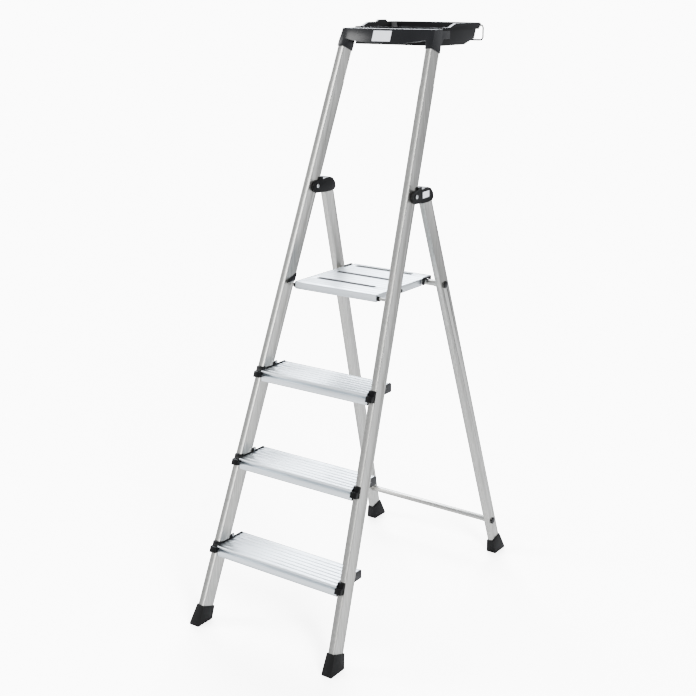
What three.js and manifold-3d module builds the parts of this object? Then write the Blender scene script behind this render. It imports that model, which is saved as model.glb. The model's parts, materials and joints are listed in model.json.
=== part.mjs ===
// Folding step ladder: three treads and a folding platform between two leaning stiles,
// a hinged rear frame, and a tool tray with a wire bail on top.
//
// Millimetres, +Z up. The climber stands at -Y facing +Y, and +X is the climber's right.
// The origin is on the floor, in the middle of the four feet's footprint.
import * as THREE from "three";
import { mergeVertices } from "three/addons/utils/BufferGeometryUtils.js";
import { ConvexGeometry } from "three/addons/geometries/ConvexGeometry.js";
import Module from "manifold-3d";

const wasm = await Module();
wasm.setup();

// ---------------------------------------------------------------- driving dimensions
const GAP = 0.3; // between pieces that touch
const RUN = 0.4; // radial clearance of a pin in a hole
const HOLE_SIDES = 16;

const STEP_RISE = 210;
const FIRST_TREAD = 195; // top of the lowest tread above the floor
const TREADS = 3;
const PLATFORM_TOP = FIRST_TREAD + TREADS * STEP_RISE;

const toRadians = THREE.MathUtils.degToRad;
const STILE = {
  lean: toRadians(20.5), // from the vertical, towards +Y
  foot: 211.5, // half of the frame's outer width on the floor
  taper: 0.055, // width lost on each side per unit of height
  width: 17,
  depth: 36,
  wall: 1.6,
};
const HINGE = {
  height: PLATFORM_TOP + 224,
  inset: 5, // from the stile's rear face to the pin's middle
  pin: 3.5,
  head: 5,
  headHeight: 2.2,
  cheek: 4.6,
  runout: 0.6, // clearance of the cheeks round the stile
};
const LEG = {
  lean: toRadians(17.3), // from the vertical, towards -Y
  taper: 0.056,
  width: 14,
  depth: 33,
  wall: 1.6,
  behind: 35, // front face behind the hinge pin, at the pin's height
  inset: 1.7, // outer face inside the stile's, at the pin's height
  short: 12, // top end below the pin
};
const TREAD = {
  depth: 100,
  front: 27,
  rear: 20,
  plate: 2.2,
  nosing: 4,
  groove: 3.5,
  grooveHeight: 7,
  ribs: 6,
  rib: 0.8,
  ribWidth: 5,
};
const CAP = {
  plate: 1.6,
  proud: 2.5,
  nose: 13,
  noseTop: -3,
  noseLow: -20,
  tongue: 6,
  rise: 7,
  setIn: 1.5,
  slant: 4, // how much the nose's lower face rises to its front
  sunk: 4, // roots of the front pieces past the stile's front face
  hump: 8,
};
const RIVET = { radius: 3, height: 2 };
const PLATFORM = {
  room: [18.3, 38.6], // from the left and right stiles, as it is pushed to the left
  plate: 2.2,
  skirt: 18,
  wall: 2,
  ahead: 6.6, // front edge before the axle
  overhang: 17, // rear edge past the crossbar it lies on
  ribs: 14,
  rib: 0.6,
  ribWidth: 3,
};
const GRIP = { margins: [23.5, 47], width: 10, sunk: 1, proud: 0.8, at: [0.26, 0.596, 0.93] };
const STOP = { radius: 4.5, length: 5, at: 0.42 };
const AXLE = { radius: 3.2, depth: 27, height: 11, bush: 4.8, bushLength: 6 };
const GUSSET = { thick: 3, low: 7, rise: 26 };
const BAR = { depth: 15, height: 14, wall: 1.5, chamfer: 4, seat: 0.5, lower: 100, slot: 4 };
const PLUG = { flange: 3, proud: 1.4, tail: 9 };
const HOOK = { width: 6, arm: 4.5, spine: 4, lip: 6, room: 1.2, lead: 5 };
const HEAD = {
  rise: 603, // top above the platform
  skirt: 43, // sleeves' length below the top
  beam: 34,
  bow: 13,
  beamDepth: 24,
  sleeve: 1.6,
  pocket: 12,
  arch: 10,
  draft: 4,
  arm: 35,
  armDepth: 19,
  armThick: 3,
};
const LABEL = { width: 52, height: 26, thick: 0.8, at: -2 };
const TAG = { width: 28, height: 15, at: [40, 1], tilt: toRadians(3) };
const TRAY = {
  depth: 187,
  height: 52,
  lip: 9, // front lip below the rim
  rise: 12, // rim above the head
  wall: 2.5,
  ledge: 4,
  ledgeDrop: 14,
  ramp: [34, 64],
  draft: 5,
  corner: 20,
  heel: [50, 14], // rear bottom corner cut off, along and up
  overhang: 9,
  hump: [100, 150, 5],
};
const BAIL = { wire: 2.2, back: 9, drop: 36, side: 15, bend: 7, lug: 12, arm: 9, sides: 8, steps: 60 };
const FOOT = { front: 50, rear: 39, sole: 9, band: 4, wall: 2.6, width: 27, depth: 52, out: 6, toe: 8 };

// ---------------------------------------------------------------- materials
const finish = (color, roughness, metalness) =>
  new THREE.MeshStandardMaterial({ color, roughness, metalness });
const aluminium = finish(0xc9cccb, 0.38, 1);
const ribbed = finish(0xdfe4e8, 0.45, 1);
const steel = finish(0xd6d8da, 0.25, 1);
const wire = finish(0x1b1b1c, 0.4, 1);
const plastic = finish(0x15161a, 0.45, 0);
const headPlastic = finish(0x2a2c33, 0.35, 0);
const rubber = finish(0x141414, 0.85, 0);
const sticker = finish(0xe9ebf2, 0.5, 0);

// ---------------------------------------------------------------- solids
// A closed geometry as a manifold-3d solid, moved by a matrix.
function solidOf(geometry, matrix) {
  const g = geometry.index ? geometry.toNonIndexed() : geometry.clone();
  for (const name of Object.keys(g.attributes)) {
    if (name !== "position") g.deleteAttribute(name);
  }
  if (matrix) g.applyMatrix4(matrix);
  const merged = mergeVertices(g, 1e-4);
  return new wasm.Manifold(
    new wasm.Mesh({
      numProp: 3,
      vertProperties: merged.attributes.position.array,
      triVerts: new Uint32Array(merged.index.array),
    }),
  );
}

const transformed = (solid, matrix) => solid.transform(matrix.elements);

function geometryOf(solid) {
  const { vertProperties, triVerts } = solid.getMesh();
  const g = new THREE.BufferGeometry();
  g.setAttribute("position", new THREE.BufferAttribute(vertProperties, 3));
  g.setIndex(new THREE.BufferAttribute(triVerts, 1));
  return g.toNonIndexed();
}

function mesh(name, shape, material, parent) {
  const geometry = shape.isBufferGeometry ? shape : geometryOf(shape);
  geometry.computeVertexNormals();
  const m = new THREE.Mesh(geometry, material);
  m.name = name;
  parent.add(m);
  return m;
}

const point = (x, y, z) => new THREE.Vector3(x, y, z);

function box([x0, x1], [y0, y1], [z0, z1]) {
  return new THREE.BoxGeometry(x1 - x0, y1 - y0, z1 - z0).translate(
    (x0 + x1) / 2,
    (y0 + y1) / 2,
    (z0 + z1) / 2,
  );
}

const solidBox = (x, y, z, matrix) => solidOf(box(x, y, z), matrix);

// An outline of [y, z] points, anticlockwise with Y to the right, drawn out along X.
function alongX(outline, [x0, x1]) {
  const shape = new THREE.Shape(outline.map(([y, z]) => new THREE.Vector2(y, z)));
  const basis = new THREE.Matrix4().makeBasis(point(0, 1, 0), point(0, 0, 1), point(1, 0, 0));
  return new THREE.ExtrudeGeometry(shape, { depth: x1 - x0, bevelEnabled: false })
    .applyMatrix4(basis)
    .translate(x0, 0, 0);
}

// A rod along X about the line through [y, z].
function rod(radius, [x0, x1], [y, z], sides = HOLE_SIDES) {
  return new THREE.CylinderGeometry(radius, radius, x1 - x0, sides)
    .rotateZ(-Math.PI / 2)
    .translate((x0 + x1) / 2, y, z);
}

const hull = (points) => new ConvexGeometry(points.map((p) => point(...p)));

// A box tube of outer size w by d, standing along Z, its outer corner edge at the origin.
function boxTube({ width, depth, wall }, [s0, s1]) {
  const past = 1;
  const outer = solidBox([-width, 0], [0, depth], [s0, s1]);
  const bore = solidBox([wall - width, -wall], [wall, depth - wall], [s0 - past, s1 + past]);
  return outer.subtract(bore);
}

// ---------------------------------------------------------------- places
const stileOuter = (z) => STILE.foot - STILE.taper * z;
const stileInner = (z) => stileOuter(z) - STILE.width;
const stileFront = (z) => Math.tan(STILE.lean) * z;
const treadTop = (n) => FIRST_TREAD + n * STEP_RISE;

// A point of the stiles' depth d and height z, as [y, z].
const stileAt = (d, z) => [stileFront(z) + d / Math.cos(STILE.lean), z];
const pivot = stileAt(STILE.depth - HINGE.inset, HINGE.height);
const axle = stileAt(AXLE.depth, PLATFORM_TOP - AXLE.height);

// The legs hang from the hinge, so their places on the floor follow from it.
const LEG_FRONT = pivot[0] + LEG.behind + Math.tan(LEG.lean) * HINGE.height;
const LEG_FOOT = stileOuter(HINGE.height) - LEG.inset + LEG.taper * HINGE.height;
const legOuter = (z) => LEG_FOOT - LEG.taper * z;
const legFront = (z) => LEG_FRONT - Math.tan(LEG.lean) * z;

const HEAD_TOP = PLATFORM_TOP + HEAD.rise;
const SHOULDER = HEAD_TOP - HEAD.skirt;
const RIM = HEAD_TOP + TRAY.rise;

// Half of the room that a crossbar's tilted section takes, across and up.
const sinLeg = Math.sin(LEG.lean);
const cosLeg = Math.cos(LEG.lean);
const barReach = (BAR.depth * cosLeg + BAR.height * sinLeg) / 2;
const barRise = (BAR.height * cosLeg + BAR.depth * sinLeg) / 2;
const upperBar = PLATFORM_TOP - PLATFORM.plate - BAR.seat - barRise;

// Matrices from a right-hand member's own frame (outer face at x = 0, front face at y = 0,
// Z up along the member) to the ladder's frame.
function memberMatrix(lean, front, foot, taper) {
  const plane = new THREE.Matrix4().makeTranslation(0, front, 0);
  plane.multiply(new THREE.Matrix4().makeRotationX(lean));
  const tilt = Math.atan(taper * Math.cos(lean));
  const line = new THREE.Matrix4().makeTranslation(foot, 0, 0);
  line.multiply(new THREE.Matrix4().makeRotationY(-tilt));
  return plane.multiply(line);
}
const stileMatrix = memberMatrix(-STILE.lean, 0, STILE.foot, STILE.taper);
const legMatrix = memberMatrix(LEG.lean, LEG_FRONT, LEG_FOOT, LEG.taper);

// Distance along a member for a height on its front outer edge.
const alongStile = (z) => z / new THREE.Vector3().setFromMatrixColumn(stileMatrix, 2).z;
const alongLeg = (z) => z / new THREE.Vector3().setFromMatrixColumn(legMatrix, 2).z;

// A member's outside grown by a clearance, for cutting what fits around it.
function envelope({ width, depth }, [s0, s1], clear, matrix) {
  return solidBox([-width - clear, clear], [-clear, depth + clear], [s0, s1], matrix);
}

// Half of the footprint's length, from the front soles' toes to the rear soles' heels.
const middle = (LEG_FRONT + FOOT.depth) / 2 - FOOT.toe;

// ---------------------------------------------------------------- scene graph
const ladder = new THREE.Group();
const whole = new THREE.Group();
whole.position.y = -middle;
ladder.add(whole);

const sides = { left: -1, right: 1 };
const half = {};
for (const [side, sign] of Object.entries(sides)) {
  half[side] = new THREE.Group();
  half[side].scale.x = sign;
  whole.add(half[side]);
}

// The same piece on both sides, modelled for the right.
function pair(name, shape, material, matrix) {
  for (const side of Object.keys(sides)) {
    const own = shape.isBufferGeometry ? shape.clone() : shape;
    const m = mesh(`${name}_${side}`, own, material, half[side]);
    if (matrix) m.applyMatrix4(matrix);
  }
}

// ---------------------------------------------------------------- stiles and legs
const stileEnds = [alongStile(FOOT.sole + FOOT.front / 3), alongStile(SHOULDER) + HEAD.pocket];
const legEnds = [alongLeg(FOOT.sole + FOOT.band), alongLeg(HINGE.height - LEG.short)];
const inverse = (matrix) => matrix.clone().invert();
const across = [0, 2 * STILE.foot]; // an X range that passes right through one side

function stiles() {
  const pinHole = solidOf(rod(HINGE.pin + RUN, across, pivot), inverse(stileMatrix));
  pair("front_stile", boxTube(STILE, stileEnds).subtract(pinHole), aluminium, stileMatrix);
}

// A rear leg is pierced by both crossbars.
function rearLegs() {
  let tube = boxTube(LEG, legEnds);
  for (const z of [upperBar, BAR.lower]) {
    const hole = solidOf(alongX(barOutline(GAP), across), barMatrix(z));
    tube = tube.subtract(transformed(hole, inverse(legMatrix)));
  }
  pair("rear_leg", tube, aluminium, legMatrix);
}

// A boot that flares from the member's end to a flat sole on the floor.
function foot(name, member, matrix, ends, height, x, y) {
  const { width, depth } = member;
  const grow = FOOT.wall;
  const corner = (cx, cy) => point(cx, cy, height).applyMatrix4(matrix).toArray();
  const points = [
    corner(-width - grow, -grow),
    corner(grow, -grow),
    corner(grow, depth + grow),
    corner(-width - grow, depth + grow),
  ];
  for (const z of [0, FOOT.band]) {
    for (const px of [x - FOOT.width, x]) {
      points.push([px, y, z], [px, y + FOOT.depth, z]);
    }
  }
  const socket = envelope(member, [ends[0] - GAP, ends[1]], GAP, matrix);
  pair(name, solidOf(hull(points)).subtract(socket), rubber);
}

function feet() {
  const front = STILE.foot + FOOT.out;
  foot("front_foot", STILE, stileMatrix, stileEnds, FOOT.front, front, -FOOT.toe);
  const rear = LEG_FOOT + FOOT.out;
  foot("rear_foot", LEG, legMatrix, legEnds, FOOT.rear, rear, LEG_FRONT - FOOT.toe);
}

// ---------------------------------------------------------------- treads
// Section of a tread, [y, z] from its front face and its top: a ribbed plate with a grooved
// front flange and a plain rear flange.
function treadOutline() {
  const { depth, front, rear, plate, nosing, groove, grooveHeight, ribs, rib, ribWidth } = TREAD;
  const deck = -rib;
  const low = -nosing - grooveHeight;
  const outline = [
    [0, -front],
    [plate, -front],
    [plate, low - plate / 2],
    [groove + plate, low],
    [groove + plate, deck - plate],
    [depth - plate, deck - plate],
    [depth - plate, -rear],
    [depth, -rear],
    [depth, deck],
  ];
  outline.push(...ribPoints(depth, ribs, rib, ribWidth));
  outline.push([0, deck], [0, -nosing], [groove, -nosing - rib], [groove, low + rib], [0, low]);
  return outline;
}

// The tops of evenly spaced ribs, from the rear edge to the front, [y, z].
function ribPoints(depth, count, height, width) {
  const points = [];
  for (let i = count; i > 0; i--) {
    const y = (i * depth) / (count + 1);
    points.push([y + width / 2, -height], [y + width / 4, 0]);
    points.push([y - width / 4, 0], [y - width / 2, -height]);
  }
  return points;
}

function treads() {
  const stile = envelope(STILE, [0, stileEnds[1]], GAP, stileMatrix);
  for (let n = 0; n < TREADS; n++) {
    const top = treadTop(n);
    const y = stileFront(top - TREAD.front);
    const end = stileInner(top) - CAP.plate - 2 * GAP;
    const tread = alongX(treadOutline(), [-end, end]).translate(0, y, top);
    mesh(`tread_${n + 1}`, tread, ribbed, whole);
    pair(`tread_cap_${n + 1}`, cap(top, y, end + GAP).subtract(stile), plastic);

    // A rivet's head on the inside of the cap's hump, over the tread's end.
    const head = [end - RIVET.height, end];
    pair(`tread_rivet_${n + 1}`, rod(RIVET.radius, head, rivetAt(top), 12), steel);
  }
}

// The rivet behind the stile, above a tread, as [y, z].
function rivetAt(top) {
  return stileAt(STILE.depth + CAP.hump, top + CAP.hump - 1);
}

// Wing of a tread's end cap, [behind the stile's rear face, above the tread's top].
const WING_OUTLINE = [
  [-2, -18],
  [10.5, -16],
  [21, -8],
  [21, -3],
  [-2, -5],
];

// End cap of a tread, on the right: a plate against the tread's end, a nose with an upper
// tongue in front of the stile, and a wing with a rivet's hump behind it.
function cap(top, y, x) {
  const { depth, front, rear } = TREAD;
  const outer = stileOuter(top) - CAP.setIn;
  const plateOutline = [
    [y, top - front],
    [y + TREAD.nosing, top - front],
    [y + depth / 3, top - rear],
    [y + depth, top - rear],
    [y + depth, top - 1],
    [y + depth - 4, top + CAP.proud],
    [y, top + CAP.proud],
    [y, top],
  ];
  const plate = solidOf(alongX(plateOutline, [x, x + CAP.plate]));
  const block = (reach, low, high, slant, range) =>
    solidOf(
      alongX(
        [
          stileAt(-reach, top + low + slant),
          stileAt(CAP.sunk, top + low),
          stileAt(CAP.sunk, top + high),
          stileAt(-reach, top + high),
        ],
        range,
      ),
    );
  const nose = block(CAP.nose, CAP.noseLow, CAP.noseTop, CAP.slant, [x, outer]);
  const tongue = block(CAP.tongue, CAP.noseTop - CAP.sunk, CAP.rise, CAP.slant - 1, [x, outer]);
  const rearFace = STILE.depth - 2;
  const [ry, rz] = rivetAt(top);
  const wing = WING_OUTLINE.map(([d, z]) => stileAt(STILE.depth + d, top + z));
  const hump = [
    stileAt(rearFace, top - 6),
    [ry + CAP.hump, top - 6],
    [ry + CAP.hump * 0.6, rz + CAP.hump * 0.4],
    [ry - CAP.hump * 0.4, rz + CAP.hump * 0.5],
    stileAt(rearFace, rz + CAP.hump * 0.2),
  ];
  const flat = (outline) => solidOf(alongX(outline, [x, x + CAP.plate]));
  const ear = solidOf(alongX(wing, [x, outer - STILE.width / 2]));
  return plate.add(nose).add(tongue).add(flat(hump)).add(ear);
}

// ---------------------------------------------------------------- rear frame
// The black moulding on a rear leg's top: a fork whose cheeks stand on both sides of the
// stile, outlined in [y, z] from the pivot.
const JOINT_OUTLINE = [
  [-20, -4],
  [-17, -11],
  [-8, -16],
  [10, -17],
  [30, -19],
  [54, -19],
  [70, -16],
  [75, -10],
  [73, 2],
  [63, 13],
  [51, 17],
  [36, 17],
  [23, 15],
  [22, 21],
  [7, 22],
  [6, 16],
  [-6, 14],
  [-16, 9],
];
const FOLD = STILE.lean + LEG.lean; // from open to lying along the stiles

function legJoints() {
  const x = [stileInner(HINGE.height) - HINGE.cheek, stileOuter(HINGE.height) + HINGE.cheek];
  const outline = JOINT_OUTLINE.map(([y, z]) => [pivot[0] + y, pivot[1] + z]);
  let body = solidOf(alongX(outline, x));
  // The stile's slot, cleared over the whole fold.
  const steps = 6;
  for (let i = 0; i <= steps; i++) {
    const turn = new THREE.Matrix4()
      .makeTranslation(0, ...pivot)
      .multiply(new THREE.Matrix4().makeRotationX((FOLD * i) / steps))
      .multiply(new THREE.Matrix4().makeTranslation(0, -pivot[0], -pivot[1]));
    const turned = turn.multiply(stileMatrix);
    body = body.subtract(envelope(STILE, stileEnds, HINGE.runout, turned));
  }
  body = body.subtract(envelope(LEG, [legEnds[0], legEnds[1] + GAP], GAP, legMatrix));
  body = body.subtract(solidOf(rod(HINGE.pin + RUN, across, pivot)));
  pair("leg_joint", body, plastic);

  const head = HINGE.headHeight;
  const profile = [
    [0, x[0] - GAP - head],
    [HINGE.head * 0.6, x[0] - GAP - head],
    [HINGE.head, x[0] - GAP - head * 0.4],
    [HINGE.head, x[0] - GAP],
    [HINGE.pin, x[0] - GAP],
    [HINGE.pin, x[1] + GAP],
    [HINGE.head, x[1] + GAP],
    [HINGE.head, x[1] + GAP + head * 0.4],
    [HINGE.head * 0.6, x[1] + GAP + head],
    [0, x[1] + GAP + head],
  ];
  const lathe = new THREE.LatheGeometry(profile.map(([r, h]) => new THREE.Vector2(r, h)), HOLE_SIDES);
  pair("hinge_pin", lathe.rotateZ(-Math.PI / 2).translate(0, ...pivot), steel);

  const tag = box(
    [x[1] + GAP, x[1] + GAP + LABEL.thick],
    [-TAG.width / 2, TAG.width / 2],
    [-TAG.height / 2, TAG.height / 2],
  );
  const place = new THREE.Matrix4().makeTranslation(0, pivot[0] + TAG.at[0], pivot[1] + TAG.at[1]);
  place.multiply(new THREE.Matrix4().makeRotationX(TAG.tilt));
  mesh("hinge_label", tag.applyMatrix4(place), sticker, half.right);
}

// Section of a crossbar, grown by a distance, [y, z] about its middle.
function barOutline(grow) {
  const [y, z, c] = [BAR.depth / 2 + grow, BAR.height / 2 + grow, BAR.chamfer];
  const corners = [];
  for (const [sy, sz] of [[1, 1], [-1, 1], [-1, -1], [1, -1]]) {
    const a = [sy * y, sz * (z - c)];
    const b = [sy * (y - c), sz * z];
    corners.push(...(sy * sz > 0 ? [a, b] : [b, a]));
  }
  return corners;
}

// Middle of a crossbar, in the middle of the legs' depth, as [y, z].
const barAt = (z) => [legFront(z) + LEG.depth / 2 / Math.cos(LEG.lean), z];

// Matrix from a crossbar's section to its place.
function barMatrix(z) {
  const place = new THREE.Matrix4().makeTranslation(0, ...barAt(z));
  return place.multiply(new THREE.Matrix4().makeRotationX(LEG.lean));
}

function crossbars() {
  for (const [level, z] of [["upper", upperBar], ["lower", BAR.lower]]) {
    const reach = legOuter(z) + 1;
    const past = reach + 1;
    const tube = solidOf(alongX(barOutline(0), [-reach, reach]));
    const bore = solidOf(alongX(barOutline(-BAR.wall), [-past, past]));
    // A slot runs along the front lower edge between the legs.
    const inside = legOuter(z) - LEG.width - BAR.height;
    const low = -BAR.height / 2;
    const front = -BAR.depth / 2;
    const slot = [
      [front - 1, front + BAR.chamfer + BAR.wall],
      [low - 1, low + BAR.slot],
    ];
    const bar = tube.subtract(bore).subtract(solidBox([-inside, inside], ...slot));
    mesh(`${level}_crossbar`, transformed(bar, barMatrix(z)), aluminium, whole);

    const flange = solidOf(alongX(barOutline(PLUG.proud), [reach + GAP, reach + GAP + PLUG.flange]));
    const tail = alongX(barOutline(-BAR.wall - GAP), [reach - PLUG.tail, reach + PLUG.flange / 2]);
    pair(`${level}_bar_plug`, flange.add(solidOf(tail)), plastic, barMatrix(z));
  }
}

// ---------------------------------------------------------------- platform
const [barY, barZ] = barAt(upperBar);
const platformFront = axle[0] - PLATFORM.ahead;
// The hook's spine stands just before the crossbar, and the plate ends over it.
const spineRear = barY - barReach - HOOK.room;
const platformRear = barY + barReach + PLATFORM.overhang;
const platformDepth = platformRear - platformFront;

function platform() {
  const { room, plate, skirt, wall, ribs, rib, ribWidth } = PLATFORM;
  const between = stileInner(PLATFORM_TOP);
  const x = [room[0] - between, between - room[1]];
  const front = platformFront;
  const rear = platformRear;
  const top = PLATFORM_TOP;
  const outline = [
    [0, -skirt],
    [platformDepth, -skirt],
    [platformDepth, -rib],
    ...ribPoints(platformDepth, ribs, rib, ribWidth),
    [0, -rib],
  ];
  let body = solidOf(alongX(outline, x).translate(0, front, top));
  const inner = [x[0] + wall, x[1] - wall];
  const under = [top - skirt - 1, top - plate];
  body = body.subtract(solidBox(inner, [front + wall, rear - wall], under));
  body = body.subtract(solidOf(rod(AXLE.bush + GAP, [x[0] - 1, x[1] + 1], axle)));
  GRIP.at.forEach((share, i) => {
    const y = front + share * platformDepth;
    const strip = (grow, low, high) =>
      box(
        [x[0] + GRIP.margins[0] - grow, x[1] - GRIP.margins[1] + grow],
        [y - GRIP.width / 2 - grow, y + GRIP.width / 2 + grow],
        [low, high],
      );
    body = body.subtract(solidOf(strip(GAP, top - GRIP.sunk - GAP, top + 1)));
    mesh(`platform_grip_${i + 1}`, strip(0, top - GRIP.sunk, top + GRIP.proud), rubber, whole);
  });

  // Behind the hooks' spines the plate has no skirts and lies on the upper crossbar.
  const flap = [spineRear - HOOK.lead - HOOK.spine - GAP, rear + 1];
  body = body.subtract(solidBox([x[0] - 1, x[1] + 1], flap, [top - skirt - 1, top - plate]));
  // The left hook stands in a notch, so that it passes inside the leg joint when folded.
  const notch = [x[0] - 1, x[0] + HOOK.width + GAP];
  body = body.subtract(solidBox(notch, flap, [top - skirt - 1, top + 1]));
  mesh("platform_plate", body, ribbed, whole);

  // A hook beside each rear corner reaches over the upper crossbar, and its spine leans
  // forward below so that it lifts off as the platform rises.
  const armLow = PLATFORM_TOP - plate;
  const armRear = barY + barReach + HOOK.room;
  const hook = [
    [spineRear - HOOK.lead - HOOK.spine, barZ - BAR.height / 3],
    [spineRear - HOOK.lead, barZ - BAR.height / 3],
    [spineRear, armLow],
    [armRear, armLow],
    [armRear + 1, armLow - HOOK.lip],
    [armRear + HOOK.spine, armLow - HOOK.lip],
    [armRear + HOOK.spine + 1, armLow + HOOK.arm],
    [spineRear - HOOK.spine, armLow + HOOK.arm],
    [spineRear - HOOK.lead - HOOK.spine, armLow],
  ];
  const sideX = {
    left: [x[0], x[0] + HOOK.width],
    right: [x[1] + GAP, x[1] + GAP + HOOK.width],
  };
  for (const [side, range] of Object.entries(sideX)) {
    mesh(`platform_hook_${side}`, alongX(hook, range), plastic, whole);
  }

  // Bushes in the side skirts turn on the fixed axle, and a rubber stop stands out behind
  // each of them.
  for (const [side, sign] of Object.entries(sides)) {
    const wallX = sign > 0 ? x[1] : -x[0];
    const ring = solidOf(rod(AXLE.bush, [wallX - wall - 3, wallX + GAP + 1], axle)).add(
      solidOf(rod(AXLE.bush + 1, [wallX + GAP, wallX + GAP + AXLE.bushLength], axle)),
    );
    const bore = solidOf(rod(AXLE.radius + RUN, across, axle));
    mesh(`axle_bush_${side}`, ring.subtract(bore), plastic, half[side]);
    const at = [front + STOP.at * platformDepth, top - AXLE.height];
    const stop = rod(STOP.radius, [wallX + GAP, wallX + GAP + STOP.length], at, 12);
    mesh(`platform_stop_${side}`, stop, rubber, half[side]);
  }
}

function axleParts() {
  const gap = GUSSET.thick + 2 * GAP;
  const end = stileInner(axle[1] + GUSSET.rise) - gap;
  mesh("platform_axle", rod(AXLE.radius, [-end, end], axle), steel, whole);
  // A stiffening plate above the axle on each stile's inner face.
  const ends = [STILE.depth / 2 - 12, STILE.depth - 1];
  const outline = [
    stileAt(ends[0], axle[1] + GUSSET.low),
    stileAt(ends[1], axle[1] + GUSSET.low),
    stileAt(ends[1], axle[1] + GUSSET.rise),
  ];
  const plate = solidOf(alongX(outline, [end, stileInner(0)]));
  const wide = { width: STILE.width + GUSSET.thick + GAP, depth: STILE.depth };
  const keep = envelope(wide, [0, stileEnds[1]], 0, stileMatrix);
  const stile = envelope(STILE, [0, stileEnds[1]], GAP, stileMatrix);
  pair("axle_gusset", plate.intersect(keep).subtract(stile), plastic);
}

// ---------------------------------------------------------------- head, tray and bail
function head() {
  const top = HEAD_TOP;
  const s0 = alongStile(SHOULDER);
  const room = envelope(STILE, [s0 - 5, stileEnds[1] + GAP], GAP, stileMatrix);
  // A sleeve runs up each stile and its outside leans in with some draft.
  const grown = [-STILE.width - HEAD.sleeve, HEAD.sleeve, -HEAD.sleeve, STILE.depth + HEAD.sleeve];
  const ring = (s, inward) =>
    [
      [grown[0], grown[2]],
      [grown[1] - inward, grown[2] + inward],
      [grown[1] - inward, grown[3]],
      [grown[0], grown[3]],
    ].map(([x, y]) => point(x, y, s).applyMatrix4(stileMatrix).toArray());
  const tall = 2 * HEAD.skirt;
  const rings = [ring(s0, 0), ring(s0 + HEAD.pocket, 0), ring(s0 + tall, HEAD.draft)];
  let body = solidOf(hull(rings.flat()));
  body = body.subtract(room);
  body = body.add(body.scale([-1, 1, 1]));

  // The beam bows forward in plan, leans with the stiles and arches up at its ends.
  const reach = stileInner(top) + STILE.width / 4;
  const bottom = top - HEAD.beam;
  const plan = (x) => -HEAD.sleeve - HEAD.bow * (1 - (x / reach) ** 2);
  const steps = 12;
  for (let i = 0; i < steps; i++) {
    const xs = [i, i + 1].map((k) => -reach + (2 * reach * k) / steps);
    const points = [];
    for (const x of xs) {
      const low = bottom + HEAD.arch * Math.abs(x / reach) ** 2.5;
      for (const z of [low, top + 20]) {
        points.push([x, ...stileAt(plan(x), z)], [x, ...stileAt(plan(x) + HEAD.beamDepth, z)]);
      }
    }
    body = body.add(solidOf(hull(points)));
  }
  // Level off the top, and behind it leave room for the tray.
  const far = 2 * STILE.foot;
  body = body.subtract(solidBox([-far, far], [0, LEG_FRONT], [top, top + 2 * tall]));
  body = body.subtract(solidBox([-far, far], [trayFront - GAP, LEG_FRONT], [0, top + 1]));
  for (const sign of [-1, 1]) {
    body = body.add(arm(sign));
  }
  mesh("head_beam", body, headPlastic, whole);

  // The label's blank plate, seated on the front of the bow.
  const z = top - HEAD.beam / 2;
  const [y] = stileAt(plan(LABEL.at) - GAP - HEAD.bow * (LABEL.width / 2 / reach) ** 2 / 8, z);
  const tag = box(
    [-LABEL.width / 2, LABEL.width / 2],
    [-LABEL.thick, 0],
    [-LABEL.height / 2, LABEL.height / 2],
  );
  const place = new THREE.Matrix4().makeTranslation(LABEL.at, y, z);
  place.multiply(new THREE.Matrix4().makeRotationX(-STILE.lean));
  mesh("head_label", tag.applyMatrix4(place), sticker, whole);
}

const trayFront = stileAt(STILE.depth + HEAD.sleeve, HEAD_TOP)[0] + GAP;
const trayHalf = stileOuter(HEAD_TOP) - 2;

// An arm from a sleeve back along the tray's side, under its ledge.
function arm(sign) {
  const high = RIM - TRAY.ledgeDrop - 2 - GAP;
  const low = high - HEAD.armDepth;
  const outline = [
    [trayFront - 8, low - 14],
    [trayFront - 1, low - 10],
    [trayFront + 6, low],
    [trayFront + HEAD.arm, low],
    [trayFront + HEAD.arm, high],
    [trayFront - 8, high],
  ];
  const x = [trayHalf - TRAY.ledge + GAP, trayHalf - TRAY.ledge + GAP + HEAD.armThick];
  return solidOf(alongX(outline, x.map((v) => v * sign).sort((a, b) => a - b)));
}

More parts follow.
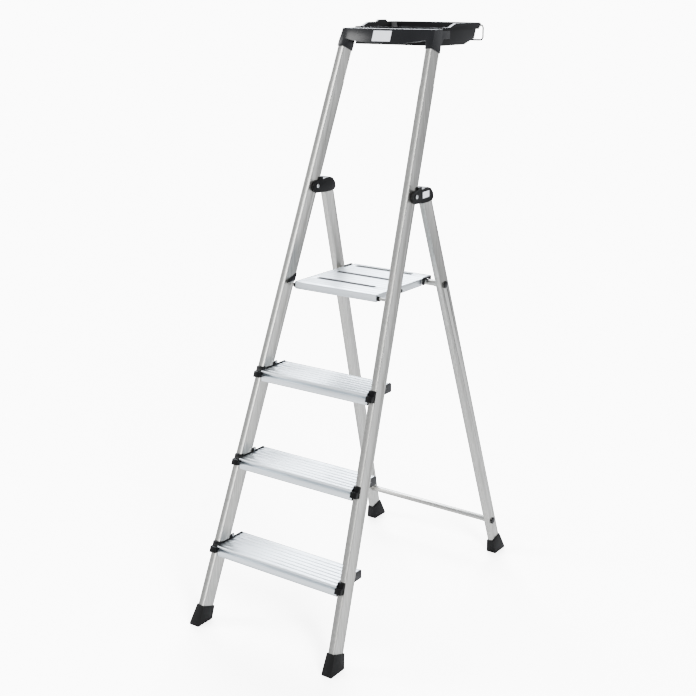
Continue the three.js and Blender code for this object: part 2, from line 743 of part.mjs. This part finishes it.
function tray() {
  const { depth, height, lip, wall, ledge, ledgeDrop, ramp, draft, corner, heel, overhang } = TRAY;
  const x = trayHalf;
  const bottom = RIM - height;
  const [y0, y1] = [trayFront, trayFront + depth];
  const wallY = y1 - overhang;
  // Rings in plan: square at the head, with the rear corners cut off.
  const ring = (half, front, rear, cut, z) => [
    [-half, front, z],
    [half, front, z],
    [half, rear - cut, z],
    [half - cut, rear, z],
    [-half + cut, rear, z],
    [-half, rear - cut, z],
  ];
  const ledgeTop = RIM - ledgeDrop;
  const low = x - ledge - draft;
  // The outer form: a drafted tub whose heel is cut off, and the band above its ledge.
  let body = solidOf(
    hull([
      ...ring(low, y0, wallY - heel[0], corner / 2, bottom),
      ...ring(low, y0, wallY, corner / 2, bottom + heel[1]),
      ...ring(x - ledge, y0, wallY, corner / 2, ledgeTop),
    ]),
  );
  const band = [...ring(x, y0, y1, corner / 2, ledgeTop - 2), ...ring(x, y0, y1, corner / 2, RIM)];
  body = body.add(solidOf(hull(band)));
  const inside = low - wall;
  const past = RIM + 1;
  const hollow = hull([
    ...ring(inside, y0 + wall, wallY - heel[0], corner / 2, bottom + wall),
    ...ring(inside, y0 + wall, wallY - wall, corner / 2, bottom + heel[1] + wall),
    ...ring(x - ledge - wall, y0 + wall, wallY - wall, corner / 2, past),
  ]);
  body = body.subtract(solidOf(hollow));
  // The rim drops to the front lip on a ramp.
  const outline = [
    [y0 - 1, RIM - lip],
    [y0 + ramp[0], RIM - lip],
    [y0 + ramp[1], past],
    [y0 - 1, past],
  ];
  body = body.subtract(solidOf(alongX(outline, [-x - 1, x + 1])));
  // A low hump on the left rim, where long tools lean.
  const [from, to, up] = TRAY.hump;
  const hump = [
    [y0 + from, RIM - 1],
    [y0 + to, RIM - 1],
    [y0 + to - 2 * up, RIM + up],
    [y0 + from + 2 * up, RIM + up],
  ];
  body = body.add(solidOf(alongX(hump, [-x, -x + ledge + wall])));
  // The front corners of the lip are rounded off.
  for (const sign of [-1, 1]) {
    const off = new THREE.Matrix4().makeTranslation(sign * x, y0, 0);
    off.multiply(new THREE.Matrix4().makeRotationZ(Math.PI / 4));
    const half = corner / Math.SQRT2 / 2;
    body = body.subtract(solidBox([-half, half], [-half, half], [HEAD_TOP + GAP, past], off));
  }
  // Two lugs behind the rear wall hold the bail.
  const [py, pz] = bailPivot();
  for (const sign of [-1, 1]) {
    const span = [x - BAIL.side - BAIL.lug / 2, x - BAIL.side + BAIL.lug / 2].map((v) => v * sign);
    span.sort((a, b) => a - b);
    const lug = [
      [y1 - 1, ledgeTop - 2],
      [py, pz - 2 * BAIL.wire],
      [py + 2 * BAIL.wire, pz - BAIL.wire],
      [py + 2 * BAIL.wire, pz + 2 * BAIL.wire],
      [y1 - 1, RIM],
    ];
    body = body.add(solidOf(alongX(lug, span)));
  }
  body = body.subtract(solidOf(rod(BAIL.wire + RUN, [-x - 5, x + 5], [py, pz])));
  mesh("tool_tray", body, plastic, whole);
}

function bailPivot() {
  return [trayFront + TRAY.depth + BAIL.back, RIM - TRAY.ledgeDrop / 2];
}

// The bail: a square loop of wire that hangs behind the tray, its ends turned in through
// the lugs.
function bail() {
  const [y, z] = bailPivot();
  const outer = trayHalf - BAIL.side + BAIL.lug / 2 + BAIL.arm;
  const tip = outer - BAIL.arm - BAIL.lug;
  const corners = [
    [-tip, 0],
    [-outer, 0],
    [-outer, -BAIL.drop],
    [outer, -BAIL.drop],
    [outer, 0],
    [tip, 0],
  ];
  const path = new THREE.CurvePath();
  const at = ([x, h]) => point(x, y, z + h);
  let from = at(corners[0]);
  for (let i = 1; i < corners.length - 1; i++) {
    const here = at(corners[i]);
    const back = at(corners[i - 1]).sub(here).normalize().multiplyScalar(BAIL.bend).add(here);
    const on = at(corners[i + 1]).sub(here).normalize().multiplyScalar(BAIL.bend).add(here);
    path.add(new THREE.LineCurve3(from, back));
    path.add(new THREE.QuadraticBezierCurve3(back, here, on));
    from = on;
  }
  path.add(new THREE.LineCurve3(from, at(corners[corners.length - 1])));
  const round = new THREE.Shape();
  for (let i = 0; i < BAIL.sides; i++) {
    const a = (2 * Math.PI * i) / BAIL.sides;
    round[i ? "lineTo" : "moveTo"](BAIL.wire * Math.cos(a), BAIL.wire * Math.sin(a));
  }
  const { steps } = BAIL;
  const loop = new THREE.ExtrudeGeometry(round, { steps, extrudePath: path, bevelEnabled: false });
  mesh("bail_wire", loop, wire, whole);
}

stiles();
rearLegs();
feet();
treads();
legJoints();
crossbars();
platform();
axleParts();
head();
tray();
bail();

export default ladder;
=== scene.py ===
# %% [markdown]
# # A folding step ladder
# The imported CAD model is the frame: it gives every size and every place. This script loads
# it, lights it, and makes one visible piece for each CAD node. The three treads are drawn
# anew. Every other piece is a refined copy of its node with rounded edges, and the tubes,
# feet, leg joints, platform and grip strips have some detail modelled on top.

# %% Load the frame
import json
import math

import bpy
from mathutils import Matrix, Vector


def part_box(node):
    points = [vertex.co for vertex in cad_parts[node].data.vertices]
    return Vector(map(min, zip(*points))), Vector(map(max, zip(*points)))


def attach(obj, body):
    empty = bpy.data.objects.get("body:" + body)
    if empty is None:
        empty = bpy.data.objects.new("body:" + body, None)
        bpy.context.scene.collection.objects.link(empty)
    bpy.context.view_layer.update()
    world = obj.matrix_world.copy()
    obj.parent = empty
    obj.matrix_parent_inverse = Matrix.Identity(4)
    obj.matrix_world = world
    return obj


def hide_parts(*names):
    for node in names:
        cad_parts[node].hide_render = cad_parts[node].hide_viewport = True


MM = 0.001  # metres in a millimetre
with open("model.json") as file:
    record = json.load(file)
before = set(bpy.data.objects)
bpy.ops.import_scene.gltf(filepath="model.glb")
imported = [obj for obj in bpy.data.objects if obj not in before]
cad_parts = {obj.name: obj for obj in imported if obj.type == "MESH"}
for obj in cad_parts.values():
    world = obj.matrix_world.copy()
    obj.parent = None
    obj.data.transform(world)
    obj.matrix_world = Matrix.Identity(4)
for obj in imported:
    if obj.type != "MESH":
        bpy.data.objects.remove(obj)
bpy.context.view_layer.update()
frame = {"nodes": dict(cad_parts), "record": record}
NODES = frame["nodes"]

# %% [markdown]
# ## Camera, light and floor
# The ladder is seen from its front right, from a little above its top. A moderate telephoto
# lens keeps the stiles nearly parallel. A white room lights it all round, soft boxes give
# the tubes their bright edges, and the floor only takes the soft shadows.

# %% Camera
CAMERA_AT = Vector((1.6512, -2.3848, 1.5160))
CAMERA_LOOK = Vector((-0.55258, 0.78355, -0.28500))
LENS, SENSOR = 62.214, 36.0  # millimetres
camera = bpy.data.objects.new("camera", bpy.data.cameras.new("camera"))
bpy.context.scene.collection.objects.link(camera)
camera.location = CAMERA_AT
camera.rotation_mode = "QUATERNION"
camera.rotation_quaternion = CAMERA_LOOK.to_track_quat("-Z", "Y")
camera.data.lens = LENS
camera.data.sensor_width = SENSOR
bpy.context.scene.camera = camera


# %% Helpers for colours and nodes
def linear(code):
    """An sRGB hex colour as linear RGBA."""
    parts = [int(code[i : i + 2], 16) / 255 for i in (0, 2, 4)]
    return [c / 12.92 if c <= 0.04045 else ((c + 0.055) / 1.055) ** 2.4 for c in parts] + [1.0]


def node(tree, kind, links=None, **settings):
    """Adds a node; settings name its properties or sockets, links give sockets their source."""
    made = tree.nodes.new(kind)
    for name, value in settings.items():
        if hasattr(made, name):
            setattr(made, name, value)
        else:
            made.inputs[name.replace("_", " ")].default_value = value
    for name, source in (links or {}).items():
        tree.links.new(source, made.inputs[name])
    return made


# %% World
# The camera sees a much brighter background than the one that lights the ladder, so that it
# comes out near white and the metal isn't washed out.
SEEN_STRENGTH = 11.0
ROOM_STRENGTH = 0.92
world = bpy.data.worlds.new("studio")
bpy.context.scene.world = world
world.use_nodes = True
tree = world.node_tree
tree.nodes.clear()
seen = node(tree, "ShaderNodeBackground", Color=linear("ffffff"), Strength=SEEN_STRENGTH)
room = node(tree, "ShaderNodeBackground", Color=linear("f4f6fa"), Strength=ROOM_STRENGTH)
ray = node(tree, "ShaderNodeLightPath")
mix = node(tree, "ShaderNodeMixShader")
tree.links.new(ray.outputs["Is Camera Ray"], mix.inputs[0])
tree.links.new(room.outputs[0], mix.inputs[1])
tree.links.new(seen.outputs[0], mix.inputs[2])
node(tree, "ShaderNodeOutputWorld", {"Surface": mix.outputs[0]})


# %% Lights
def soft_box(name, at, target, size, power, tint="ffffff"):
    """An area light that the camera doesn't see; places and size in metres, power in watts."""
    light = bpy.data.objects.new(name, bpy.data.lights.new(name, "AREA"))
    bpy.context.scene.collection.objects.link(light)
    light.data.shape = "RECTANGLE"
    light.data.size, light.data.size_y = size
    light.data.energy = power
    light.data.color = linear(tint)[:3]
    light.location = at
    light.visible_camera = False
    light.rotation_mode = "QUATERNION"
    light.rotation_quaternion = (Vector(target) - Vector(at)).to_track_quat("-Z", "Y")


# One box lights the front outer corners of the stiles, one the treads from behind, a weak
# one from the left keeps the front faces a middle grey, and a faint one hangs overhead.
soft_box("corner", (2.9, -1.9, 2.2), (0, 0, 0.9), (0.7, 2.8), 170)
soft_box("left", (-3.2, -1.6, 1.8), (0, 0, 0.8), (1.2, 2.6), 90)
soft_box("treads", (-2.2, 3.2, 3.4), (0, 0, 0.6), (3.0, 2.0), 330, "f2f7ff")
soft_box("top", (0.4, 0.2, 4.2), (0, 0, 0.6), (2.4, 2.4), 50)

# %% Floor
bpy.ops.object.select_all(action="DESELECT")
bpy.ops.mesh.primitive_plane_add(size=30, location=(0, 0, 0))
floor = bpy.context.object
floor.name = "floor"
floor.is_shadow_catcher = True

# %% [markdown]
# ## Finishes
# Each finish is one Principled shader with a little procedural variation: satin aluminium
# with long draw lines, black injection-moulded plastic with a fine grain, and matt rubber.


# %% A base material
def principled(name, **sockets):
    material = bpy.data.materials.new(name)
    material.use_nodes = True
    shader = material.node_tree.nodes["Principled BSDF"]
    for key, value in sockets.items():
        shader.inputs[key.replace("_", " ")].default_value = value
    return material, material.node_tree, shader


def wander(tree, cloud, rough, spread):
    """Roughness that follows a slow noise between rough - spread and rough + spread."""
    ends = {"To_Min": rough - spread, "To_Max": rough + spread}
    return node(tree, "ShaderNodeMapRange", {"Value": cloud.outputs[0]}, **ends)


# %% Aluminium
LINE_STRETCH = 2.0  # features per metre along a draw line
HANDLING = 7.0  # features per metre of the slow wander in roughness
LINE_RELIEF = 0.3 * MM


def aluminium(name, code, rough, spread, line, along, oxide, dull):
    """Metal with draw lines `line` metres apart along one axis.

    The streaks take the oxide colour, with `dull` of the base colour left in the darkest.
    """
    material, tree, shader = principled(name, Base_Color=linear(code), Metallic=1.0)
    place = node(tree, "ShaderNodeTexCoord")
    stretch = [1.0 / line] * 3
    stretch[along] = LINE_STRETCH
    turned = node(tree, "ShaderNodeMapping", {"Vector": place.outputs["Object"]}, Scale=stretch)
    # Draw lines from the die: they break the highlight into faint streaks.
    lines = node(tree, "ShaderNodeTexNoise", {"Vector": turned.outputs[0]}, Scale=1.0, Detail=3.0)
    where = {"Vector": place.outputs["Object"]}
    cloud = node(tree, "ShaderNodeTexNoise", where, Scale=HANDLING, Detail=2.0)
    # Oxide leaves the tube a little darker in long soft streaks.
    tint = node(
        tree,
        "ShaderNodeMapRange",
        {"Value": lines.outputs[0]},
        From_Min=0.3,
        From_Max=0.7,
        To_Min=dull,
    )
    shade = node(tree, "ShaderNodeMix", {"Factor": tint.outputs[0]}, data_type="RGBA")
    shade.inputs[6].default_value = linear(oxide)
    shade.inputs[7].default_value = linear(code)
    tree.links.new(shade.outputs[2], shader.inputs["Base Color"])
    # Roughness wanders with handling, so that no face is an even mirror.
    soft = wander(tree, cloud, rough, spread)
    tree.links.new(soft.outputs[0], shader.inputs["Roughness"])
    height = {"Height": lines.outputs[0]}
    bump = node(tree, "ShaderNodeBump", height, Strength=0.12, Distance=LINE_RELIEF)
    tree.links.new(bump.outputs[0], shader.inputs["Normal"])
    return material


# %% Plastic and rubber
WEAR = 14.0  # features per metre of the wear and dust


def moulded(name, code, rough, spread, grain, depth, gloss=0.5):
    """Moulded plastic or rubber with a grain `grain` metres across and `depth` deep."""
    material, tree, shader = principled(name, Base_Color=linear(code), Specular_IOR_Level=gloss)
    place = node(tree, "ShaderNodeTexCoord")
    # The grain of the mould spreads the highlight; the slow cloud is wear and dust.
    where = {"Vector": place.outputs["Object"]}
    fine = node(tree, "ShaderNodeTexNoise", where, Scale=1.0 / grain, Detail=2.0)
    cloud = node(tree, "ShaderNodeTexNoise", where, Scale=WEAR, Detail=3.0)
    soft = wander(tree, cloud, rough, spread)
    tree.links.new(soft.outputs[0], shader.inputs["Roughness"])
    bump = node(tree, "ShaderNodeBump", {"Height": fine.outputs[0]}, Strength=0.15, Distance=depth)
    tree.links.new(bump.outputs[0], shader.inputs["Normal"])
    return material


LOOK = {
    # Satin mill aluminium of the box tubes.
    "tube_aluminium": aluminium(
        "satin_drawn_aluminium", "c4c3bf",
        rough=0.30, spread=0.07, line=0.0025, along=2, oxide="9c9b96", dull=0.1,
    ),
    # The treads are brighter, lightly etched extrusions.
    "tread_aluminium": aluminium(
        "etched_ribbed_aluminium", "eef3f7",
        rough=0.38, spread=0.06, line=0.0015, along=0, oxide="cdd6dc", dull=0.2,
    ),
    # Zinc-plated rivets and pins.
    "steel": aluminium(
        "zinc_plated_steel", "cfd1d3",
        rough=0.28, spread=0.04, line=0.002, along=0, oxide="b8babc", dull=0.3,
    ),
    # The bail is wire with a black coat.
    "wire": moulded(
        "black_coated_wire", "050505",
        rough=0.35, spread=0.05, grain=0.0008, depth=0.0001, gloss=0.2,
    ),
    # Injection-moulded black caps, joints and tray.
    "black_plastic": moulded(
        "black_moulded_plastic", "040405",
        rough=0.36, spread=0.06, grain=0.0006, depth=0.00015, gloss=0.16,
    ),
    # The head is a touch greyer and glossier.
    "head_plastic": moulded(
        "dark_satin_plastic", "08090c",
        rough=0.28, spread=0.05, grain=0.0006, depth=0.0001, gloss=0.34,
    ),
    # Feet and grips.
    "rubber": moulded(
        "matt_black_rubber", "040404",
        rough=0.6, spread=0.1, grain=0.0008, depth=0.0002, gloss=0.2,
    ),
    # Blank label film.
    "label": moulded(
        "blank_label_film", "f2f3fa",
        rough=0.35, spread=0.04, grain=0.004, depth=0.00005,
    ),
}
print("finishes:", ", ".join(LOOK))

# %% [markdown]
# ## From CAD node to finished piece
# Every real piece here has edges that catch the light: a tube's corner radius, a moulded
# edge, a sheared edge. The CAD nodes are sharp, with triangles across their flat faces. So
# each piece but the treads starts as its own copy of a node: doubles are merged, flat
# triangles are dissolved into whole faces, and a bevel is applied. Its width is an upper
# limit, because it is clamped where edges lie close together.


# %% Face selection
def faces_where(piece, test):
    """Selects in edit mode just the faces for which test(normal, centre) is true."""
    select_only(piece)
    bpy.ops.object.mode_set(mode="EDIT")
    bpy.ops.mesh.select_all(action="DESELECT")
    bpy.ops.mesh.select_mode(type="FACE")
    bpy.ops.object.mode_set(mode="OBJECT")
    count = 0
    for face in piece.data.polygons:
        face.select = test(face.normal, face.center)
        count += face.select
    bpy.ops.object.mode_set(mode="EDIT")
    return count


# %% Which finish and which body
def slot_of(name):
    for row in frame["record"]["subparts"]:
        if row["node"] == name:
            return row["material_slot"]
    raise KeyError(name)


def body_of(name):
    for body, members in frame["record"]["behaviour"]["bodies"].items():
        if name in members:
            return body
    raise KeyError(name)


# %% Copy, merge, dissolve
MERGE = 0.02 * MM


def select_only(obj):
    bpy.ops.object.select_all(action="DESELECT")
    obj.select_set(True)
    bpy.context.view_layer.objects.active = obj


def copy_of(name, flat=1.0):
    """A copy of a CAD node with whole flat faces; flat is the dissolve angle in degrees."""
    source = NODES[name]
    piece = bpy.data.objects.new(name + "_v", source.data.copy())
    bpy.context.scene.collection.objects.link(piece)
    piece.data.transform(source.matrix_world)
    piece.data.materials.clear()
    select_only(piece)
    bpy.ops.object.mode_set(mode="EDIT")
    bpy.ops.mesh.select_all(action="SELECT")
    bpy.ops.mesh.remove_doubles(threshold=MERGE)
    bpy.ops.mesh.dissolve_limited(angle_limit=math.radians(flat))
    bpy.ops.mesh.normals_make_consistent(inside=False)
    bpy.ops.object.mode_set(mode="OBJECT")
    return piece


def bevelled(piece, width, segments=2, angle=30.0):
    """Bevels the edges sharper than angle degrees, up to width metres."""
    select_only(piece)
    bevel = piece.modifiers.new("edges", "BEVEL")
    bevel.width = width
    bevel.segments = segments
    bevel.limit_method = "ANGLE"
    bevel.angle_limit = math.radians(angle)
    bevel.use_clamp_overlap = True
    bevel.harden_normals = False
    bpy.ops.object.modifier_apply(modifier=bevel.name)
    bpy.ops.object.shade_smooth_by_angle(angle=math.radians(35.0))
    return piece


def finished(piece, *names):
    """Gives the piece its finish and its body, and hides the CAD nodes it stands for."""
    slot = slot_of(names[0])
    piece.data.materials.clear()
    piece.data.materials.append(LOOK[slot])
    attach(piece, body_of(names[0]))
    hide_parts(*names)
    print(piece.name, len(piece.data.polygons), "faces")


# %% Edge radii
# The widest bevel on each kind of piece: tight on sheared metal, soft on mouldings. These
# pieces get nothing but their bevel.
EDGE = {
    "upper_crossbar": 0.001, "lower_crossbar": 0.001,
    "upper_bar_plug": 0.0012, "lower_bar_plug": 0.0012,
    "platform_hook": 0.0008, "platform_stop": 0.0008,
    "platform_axle": 0.0005, "axle_bush": 0.0006, "axle_gusset": 0.0005,
    "tread_rivet": 0.0006, "hinge_pin": 0.0006,
    "head_label": 0.0002, "hinge_label": 0.0002,
    "bail_wire": 0.0002,
}
for name in sorted(NODES):
    width = next((w for prefix, w in EDGE.items() if name.startswith(prefix)), None)
    if width:
        finished(bevelled(copy_of(name), width, 3), name)

# %% [markdown]
# ## Stiles and legs
# A ladder's box tube is extruded with large corner radii and a shallow flute down each wide
# face, which stiffens it and leaves a bright land along every corner. The corners are
# bevelled first; then each outer face is inset twice, and the second inset sinks it. A known
# fault: beside the stiles' hinge holes this throws a few corners up to 1.2 mm out of the
# surface, so that the stiles cut into the leg joints.


# %% Outer faces
SAME_WAY = 0.999  # the cosine above which two faces point the same way
SAME_PLANE = 0.5 * MM


def select_outer(piece, least):
    """Selects the faces over `least` square metres that lie outermost in their direction."""
    faces = [f for f in piece.data.polygons if f.area > least]
    chosen = set()
    for face in faces:
        along = [f for f in faces if f.normal.dot(face.normal) > SAME_WAY]
        reach = max(f.center.dot(face.normal) for f in along)
        if face.center.dot(face.normal) > reach - SAME_PLANE:
            chosen.add(face.index)
    faces_where(piece, lambda n, c: False)
    bpy.ops.object.mode_set(mode="OBJECT")
    for face in piece.data.polygons:
        face.select = face.index in chosen
    bpy.ops.object.mode_set(mode="EDIT")
    return len(chosen)


# %% Fluted tubes
TUBE_CORNER = 2.4 * MM
WIDE_FACE = 0.004  # square metres; the faces round a hole are smaller
LAND = 1.2 * MM  # flat strip left beside a corner
FLANK = 0.8 * MM  # width of the flute's sloping side
FLUTE = 0.5 * MM  # depth
for name in ("front_stile_left", "front_stile_right", "rear_leg_left", "rear_leg_right"):
    piece = bevelled(copy_of(name), TUBE_CORNER, 4)
    found = select_outer(piece, WIDE_FACE)
    bpy.ops.mesh.inset(use_individual=True, thickness=LAND, depth=0)
    bpy.ops.mesh.inset(use_individual=True, thickness=FLANK, depth=-FLUTE)
    bpy.ops.object.mode_set(mode="OBJECT")
    bpy.ops.object.shade_smooth_by_angle(angle=math.radians(25.0))
    print(name, "fluted faces:", found)
    finished(piece, name)

# %% [markdown]
# ## Treads
# A real tread is one extrusion: a deck with anti-slip ribs, a thick nosing, a groove under
# it and a front flange. Only its section matters, so the section is drawn as one face and
# extruded along X, the way the die does it. Each rib gets a flat top and steep sides.


# %% Section of a tread
def extrusion(name, section, x0, x1):
    """A closed [y, z] section, in metres, drawn as one face and extruded from x0 to x1."""
    data = bpy.data.meshes.new(name)
    data.from_pydata([(x0, y, z) for y, z in section], [], [list(range(len(section)))])
    piece = bpy.data.objects.new(name, data)
    bpy.context.scene.collection.objects.link(piece)
    select_only(piece)
    bpy.ops.object.mode_set(mode="EDIT")
    bpy.ops.mesh.select_all(action="SELECT")
    bpy.ops.mesh.extrude_region_move(TRANSFORM_OT_translate={"value": (x1 - x0, 0, 0)})
    bpy.ops.mesh.select_all(action="SELECT")
    bpy.ops.mesh.normals_make_consistent(inside=False)
    bpy.ops.object.mode_set(mode="OBJECT")
    return piece


RIB_HEIGHT = 1.3 * MM
RIB_SLOPE = 0.0004  # how far a rib's side leans in, in metres
RIB_WIDTH = 5.5 * MM
RIBS = 6
SKIN = 2.0 * MM  # wall thickness
REAR_FLANGE = 20.0 * MM  # how far it hangs below the top
REAR_LIP = (3 * MM, 0.6 * MM)  # its width, and its height above the deck
WEB = 9.5 * MM  # from the front to the back of the wall behind the nosing
GROOVE = 7.5 * MM  # depth of the groove under the nosing
NOSE_CHAMFER = 0.8 * MM


def rib_row(y0, y1, top, count, width):
    """[y, z] points of evenly spaced ribs, from y1 back to y0."""
    points = []
    for i in range(count, 0, -1):
        y = y0 + (y1 - y0) * i / (count + 1)
        points += [(y + width / 2, top - RIB_HEIGHT), (y + width / 2 - RIB_SLOPE, top)]
        points += [(y - width / 2 + RIB_SLOPE, top), (y - width / 2, top - RIB_HEIGHT)]
    return points


def tread_section(low, high):
    """The tread's section between the corners of its CAD node's box."""
    y0, y1, z0, top = low[1], high[1], low[2], high[2]
    deck = top - RIB_HEIGHT
    rear = top - REAR_FLANGE
    web, back = y0 + WEB, y0 + GROOVE
    lip_width, lip_height = REAR_LIP
    # The front flange, the wall behind the nosing, the underside and the rear flange.
    section = [(y0, z0), (y0 + SKIN, z0), (y0 + SKIN, top - 14 * MM)]
    section += [(web, top - 12 * MM), (web, deck - SKIN)]
    section += [(y1 - SKIN, deck - SKIN), (y1 - SKIN, rear), (y1, rear), (y1, deck + lip_height)]
    section += [(y1 - lip_width, deck + lip_height), (y1 - lip_width, deck)]
    section += rib_row(y0 + 2 * MM, y1, top, RIBS, RIB_WIDTH)
    # The nosing overhangs a groove whose floor slants down to the front.
    section += [(y0 + 5 * MM, deck), (y0 + 4.6 * MM, top), (y0 + NOSE_CHAMFER, top)]
    section += [(y0, top - NOSE_CHAMFER), (y0, top - 4.6 * MM)]
    section += [(back, top - 5.4 * MM), (back, top - 10.5 * MM)]
    section += [(y0, top - 12.5 * MM)]
    return section


# %% Treads
for n in (1, 2, 3):
    name = f"tread_{n}"
    low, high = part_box(name)
    piece = extrusion(name + "_v", tread_section(low, high), low[0], high[0])
    finished(bevelled(piece, 0.3 * MM, 2), name)

# %% [markdown]
# ## Platform
# The platform is one plate with ribs, folded down at the edges. The piece is a copy of the
# CAD node, ribs and all. The front skirt's face is inset and pressed in a little, which
# leaves a narrow rim round it.

# %% Platform
SKIRT_RIM = 3 * MM
SKIRT_DEPTH = 0.5 * MM
BELOW_DECK = 0.004  # metres
piece = copy_of("platform_plate")
low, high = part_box("platform_plate")
found = faces_where(
    piece,
    lambda n, c: abs(n.y) > 0.99 and c.y < low[1] + MM and c.z < high[2] - BELOW_DECK,
)
bpy.ops.mesh.inset(thickness=SKIRT_RIM, depth=0)
bpy.ops.transform.translate(value=(0, SKIRT_DEPTH, 0))
bpy.ops.object.mode_set(mode="OBJECT")
print("platform: skirt faces pressed in:", found)
finished(bevelled(piece, 0.4 * MM, 2), "platform_plate")

# %% Grip strips
# Each strip is rubber with rounded edges. It is made wider than its groove, so its long
# sides run about a millimetre into the plate.
GRIP_SPREAD = 1.25
for i in (1, 2, 3):
    name = f"platform_grip_{i}"
    low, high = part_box(name)
    piece = copy_of(name)
    faces_where(piece, lambda n, c: True)
    bpy.ops.transform.resize(value=(1, GRIP_SPREAD, 1), center_override=(low + high) / 2)
    bpy.ops.object.mode_set(mode="OBJECT")
    finished(bevelled(piece, 0.6 * MM, 3), name)

# %% [markdown]
# ## Feet
# The boots are soft moulded rubber, with generous edge radii and grooves across the sole.
# The CAD boot is bevelled, then each groove is cut with a bar by a boolean.


# %% Boolean cut
def cut(piece, tool):
    select_only(piece)
    boolean = piece.modifiers.new("cut", "BOOLEAN")
    boolean.operation = "DIFFERENCE"
    boolean.solver = "EXACT"
    boolean.object = tool
    bpy.ops.object.modifier_apply(modifier=boolean.name)
    bpy.data.objects.remove(tool)


def bar(low, high):
    """A plain bar between two corners, used only to cut with."""
    low, high = Vector(low), Vector(high)
    bpy.ops.object.select_all(action="DESELECT")
    bpy.ops.mesh.primitive_cube_add(size=1, location=(low + high) / 2, scale=high - low)
    bpy.ops.object.transform_apply(location=True, rotation=True, scale=True)
    return bpy.context.object


# %% Feet
GROOVES = 4
GROOVE_HALF = 1.5 * MM  # half of a groove's width
GROOVE_DEPTH = 2 * MM
PAST = 0.01  # how far a bar runs past the foot, in metres
for name in ("front_foot_left", "front_foot_right", "rear_foot_left", "rear_foot_right"):
    low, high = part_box(name)
    piece = bevelled(copy_of(name), 1.8 * MM, 3)
    for i in range(GROOVES):
        y = low[1] + (high[1] - low[1]) * (i + 1) / (GROOVES + 1)
        start = (low[0] - PAST, y - GROOVE_HALF, -PAST)
        end = (high[0] + PAST, y + GROOVE_HALF, GROOVE_DEPTH)
        cut(piece, bar(start, end))
    select_only(piece)
    bpy.ops.object.shade_smooth_by_angle(angle=math.radians(35.0))
    finished(piece, name)

# %% [markdown]
# ## Tread caps and leg joints
# Both are injection moulded. The caps are copies with rounded edges. The joints have a
# shallow pocket in their outer cheek with a raised rim round it, made by insetting the flat
# outer faces twice and pushing the inner ones in.

# %% Tread caps
for n in (1, 2, 3):
    for side in ("left", "right"):
        name = f"tread_cap_{n}_{side}"
        finished(bevelled(copy_of(name), 0.9 * MM, 3), name)

# %% Leg joints
CHEEK = 0.155  # metres from the middle; only the outer cheeks lie beyond it
POCKET_RIM = 2.0 * MM
POCKET = 0.6 * MM  # its depth, and the width of its sloping side
for side, sign in (("left", -1), ("right", 1)):
    name = "leg_joint_" + side
    piece = copy_of(name)
    found = faces_where(piece, lambda n, c: n.x * sign > 0.99 and abs(c.x) > CHEEK)
    bpy.ops.mesh.inset(thickness=POCKET_RIM, depth=0)
    bpy.ops.mesh.inset(thickness=POCKET, depth=-POCKET)
    bpy.ops.object.mode_set(mode="OBJECT")
    print(name, "cheek faces:", found)
    finished(bevelled(piece, 1.2 * MM, 3, 40.0), name)

# %% [markdown]
# ## Head and tray
# The head is one big moulding with soft edges, and the tray is a thinner one with tighter
# edges. Both are copies of their CAD nodes with nothing added but the bevels.

# %% Head
finished(bevelled(copy_of("head_beam", 2.0), 2.2 * MM, 3, 25.0), "head_beam")

# %% Tray
finished(bevelled(copy_of("tool_tray"), 1.3 * MM, 3), "tool_tray")
